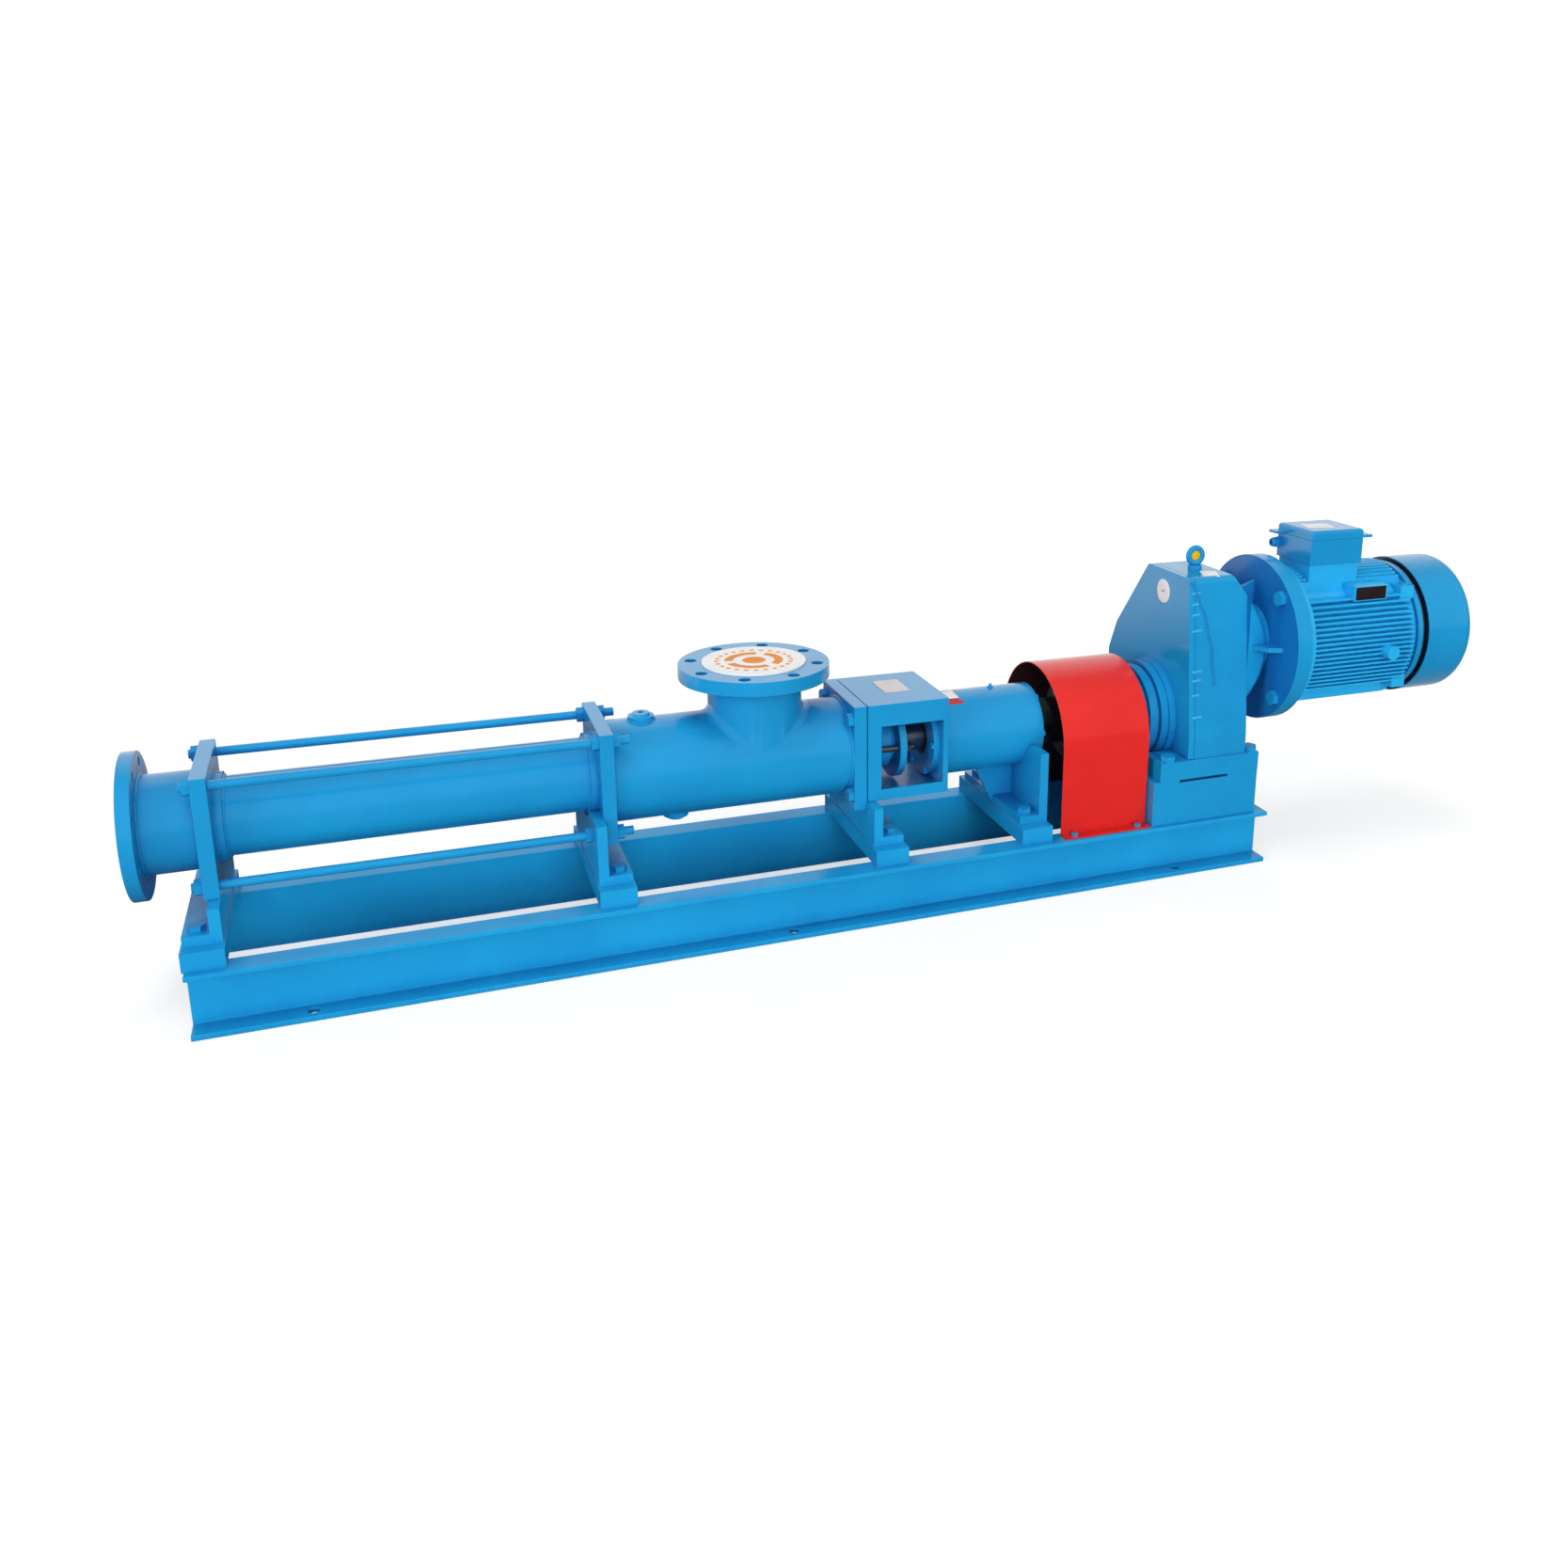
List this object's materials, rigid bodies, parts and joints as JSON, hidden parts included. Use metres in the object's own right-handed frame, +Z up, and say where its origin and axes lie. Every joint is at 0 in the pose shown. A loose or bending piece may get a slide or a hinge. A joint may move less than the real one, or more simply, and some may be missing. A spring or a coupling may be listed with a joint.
{
  "type": "progressive cavity pump",
  "caption": "Base-mounted progressive cavity pump: helical rotor in a rubber stator, suction chamber, packed shaft, bearing bracket, coupling under a guard and a flanged gear motor.",
  "frame": {"origin": "centre of the rectangle of corner anchor holes, on the underside of the base rails", "axes": "+X along the pump from the discharge flange to the motor, +Y away from the gland's front window, +Z up, out of the suction port"},
  "size_m": [2.603, 0.436, 0.71],
  "materials": {
    "blue_paint": "glossy sky-blue enamel on rolled steel",
    "blue_cast": "glossy sky-blue enamel on castings",
    "red_paint": "glossy signal-red enamel",
    "steel": "machined",
    "chrome_steel": "hard chrome plated",
    "cast_iron": "machined cast iron",
    "rubber": "matt",
    "white_plastic": "smooth",
    "dark_plastic": "moulded",
    "plate": "blank rating plate"
  },
  "bodies": {
    "frame": {"base_rail_front": "blue_paint", "base_rail_rear": "blue_paint", "bearer_bars": "blue_paint", "gearbox_pedestal": "blue_paint", "support_feet": "blue_paint", "base_bolts": "blue_paint", "discharge_casing": "blue_cast", "stator_tube": "blue_paint", "stator_lining": "rubber", "tie_rods": "blue_paint", "tie_rod_nuts": "blue_paint", "suction_casing": "blue_cast", "casing_plugs": "blue_paint", "suction_port_cover": "white_plastic", "stuffing_box": "blue_cast", "packing_rings": "rubber", "gland": "blue_cast", "gland_studs": "steel", "bearing_bracket": "blue_cast", "bracket_bolts": "blue_paint", "bearing_housing": "blue_paint", "bearing_covers": "blue_cast", "shaft_seals": "rubber", "pump_bearings": "steel", "gearbox_bearings": "steel", "motor_bearings": "steel", "coupling_guard": "red_paint", "gearbox_front_cover": "blue_cast", "gearbox_housing": "blue_cast", "gearbox_output_cover": "blue_cast", "eyebolt": "blue_paint", "motor_adapter": "blue_cast", "motor_flange_shield": "blue_cast", "motor_flange_bolts": "blue_paint", "motor_frame": "blue_cast", "motor_rear_shield": "blue_cast", "motor_stator": "steel", "fan_cover": "blue_paint", "terminal_box": "blue_cast", "terminal_box_lid": "blue_cast", "nameplates": "plate"},
    "drive_line": {"drive_shaft": "steel", "drive_joint_pin": "steel", "drive_joint_sleeve": "steel", "drive_inner_races": "steel", "coupling_half_pump": "cast_iron", "coupling_half_gearbox": "cast_iron", "coupling_pins": "steel", "coupling_bushes": "rubber", "output_shaft": "steel", "gear_wheel": "steel"},
    "motor_rotor": {"pinion_shaft": "steel", "motor_shaft": "steel", "motor_rotor_core": "steel", "cooling_fan": "dark_plastic", "motor_inner_races": "steel"},
    "orbit_sleeve": {"rotor_joint_sleeve": "steel"},
    "rotor": {"rotor": "chrome_steel", "rotor_joint_pin": "steel"},
    "connecting_rod": {"connecting_rod": "steel"}
  },
  "joints": [
    {"name": "drive_spin", "type": "hinge", "parent": "frame", "child": "drive_line", "pos_m": [0.4, 0, 0.313], "axis": [1, 0, 0], "continuous": true},
    {"name": "motor_spin", "type": "hinge", "parent": "frame", "child": "motor_rotor", "pos_m": [1.2, -0.071, 0.47404], "axis": [1, 0, 0], "continuous": true},
    {"name": "rotor_orbit", "type": "hinge", "parent": "frame", "child": "orbit_sleeve", "pos_m": [-0.2345, 0, 0.313], "axis": [1, 0, 0], "continuous": true},
    {"name": "rotor_spin", "type": "hinge", "parent": "orbit_sleeve", "child": "rotor", "pos_m": [-0.2345, 0.009, 0.313], "axis": [1, 0, 0], "continuous": true},
    {"name": "rod_spin", "type": "hinge", "parent": "orbit_sleeve", "child": "connecting_rod", "pos_m": [-0.2345, 0.009, 0.313], "axis": [0.9996, -0.028, 0], "continuous": true}
  ],
  "couplings": [
    {"joint": "motor_spin", "follows": "drive_spin", "ratio": -2.52},
    {"joint": "rotor_orbit", "follows": "drive_spin", "ratio": -1},
    {"joint": "rotor_spin", "follows": "drive_spin", "ratio": 2},
    {"joint": "rod_spin", "follows": "drive_spin", "ratio": 2}
  ]
}
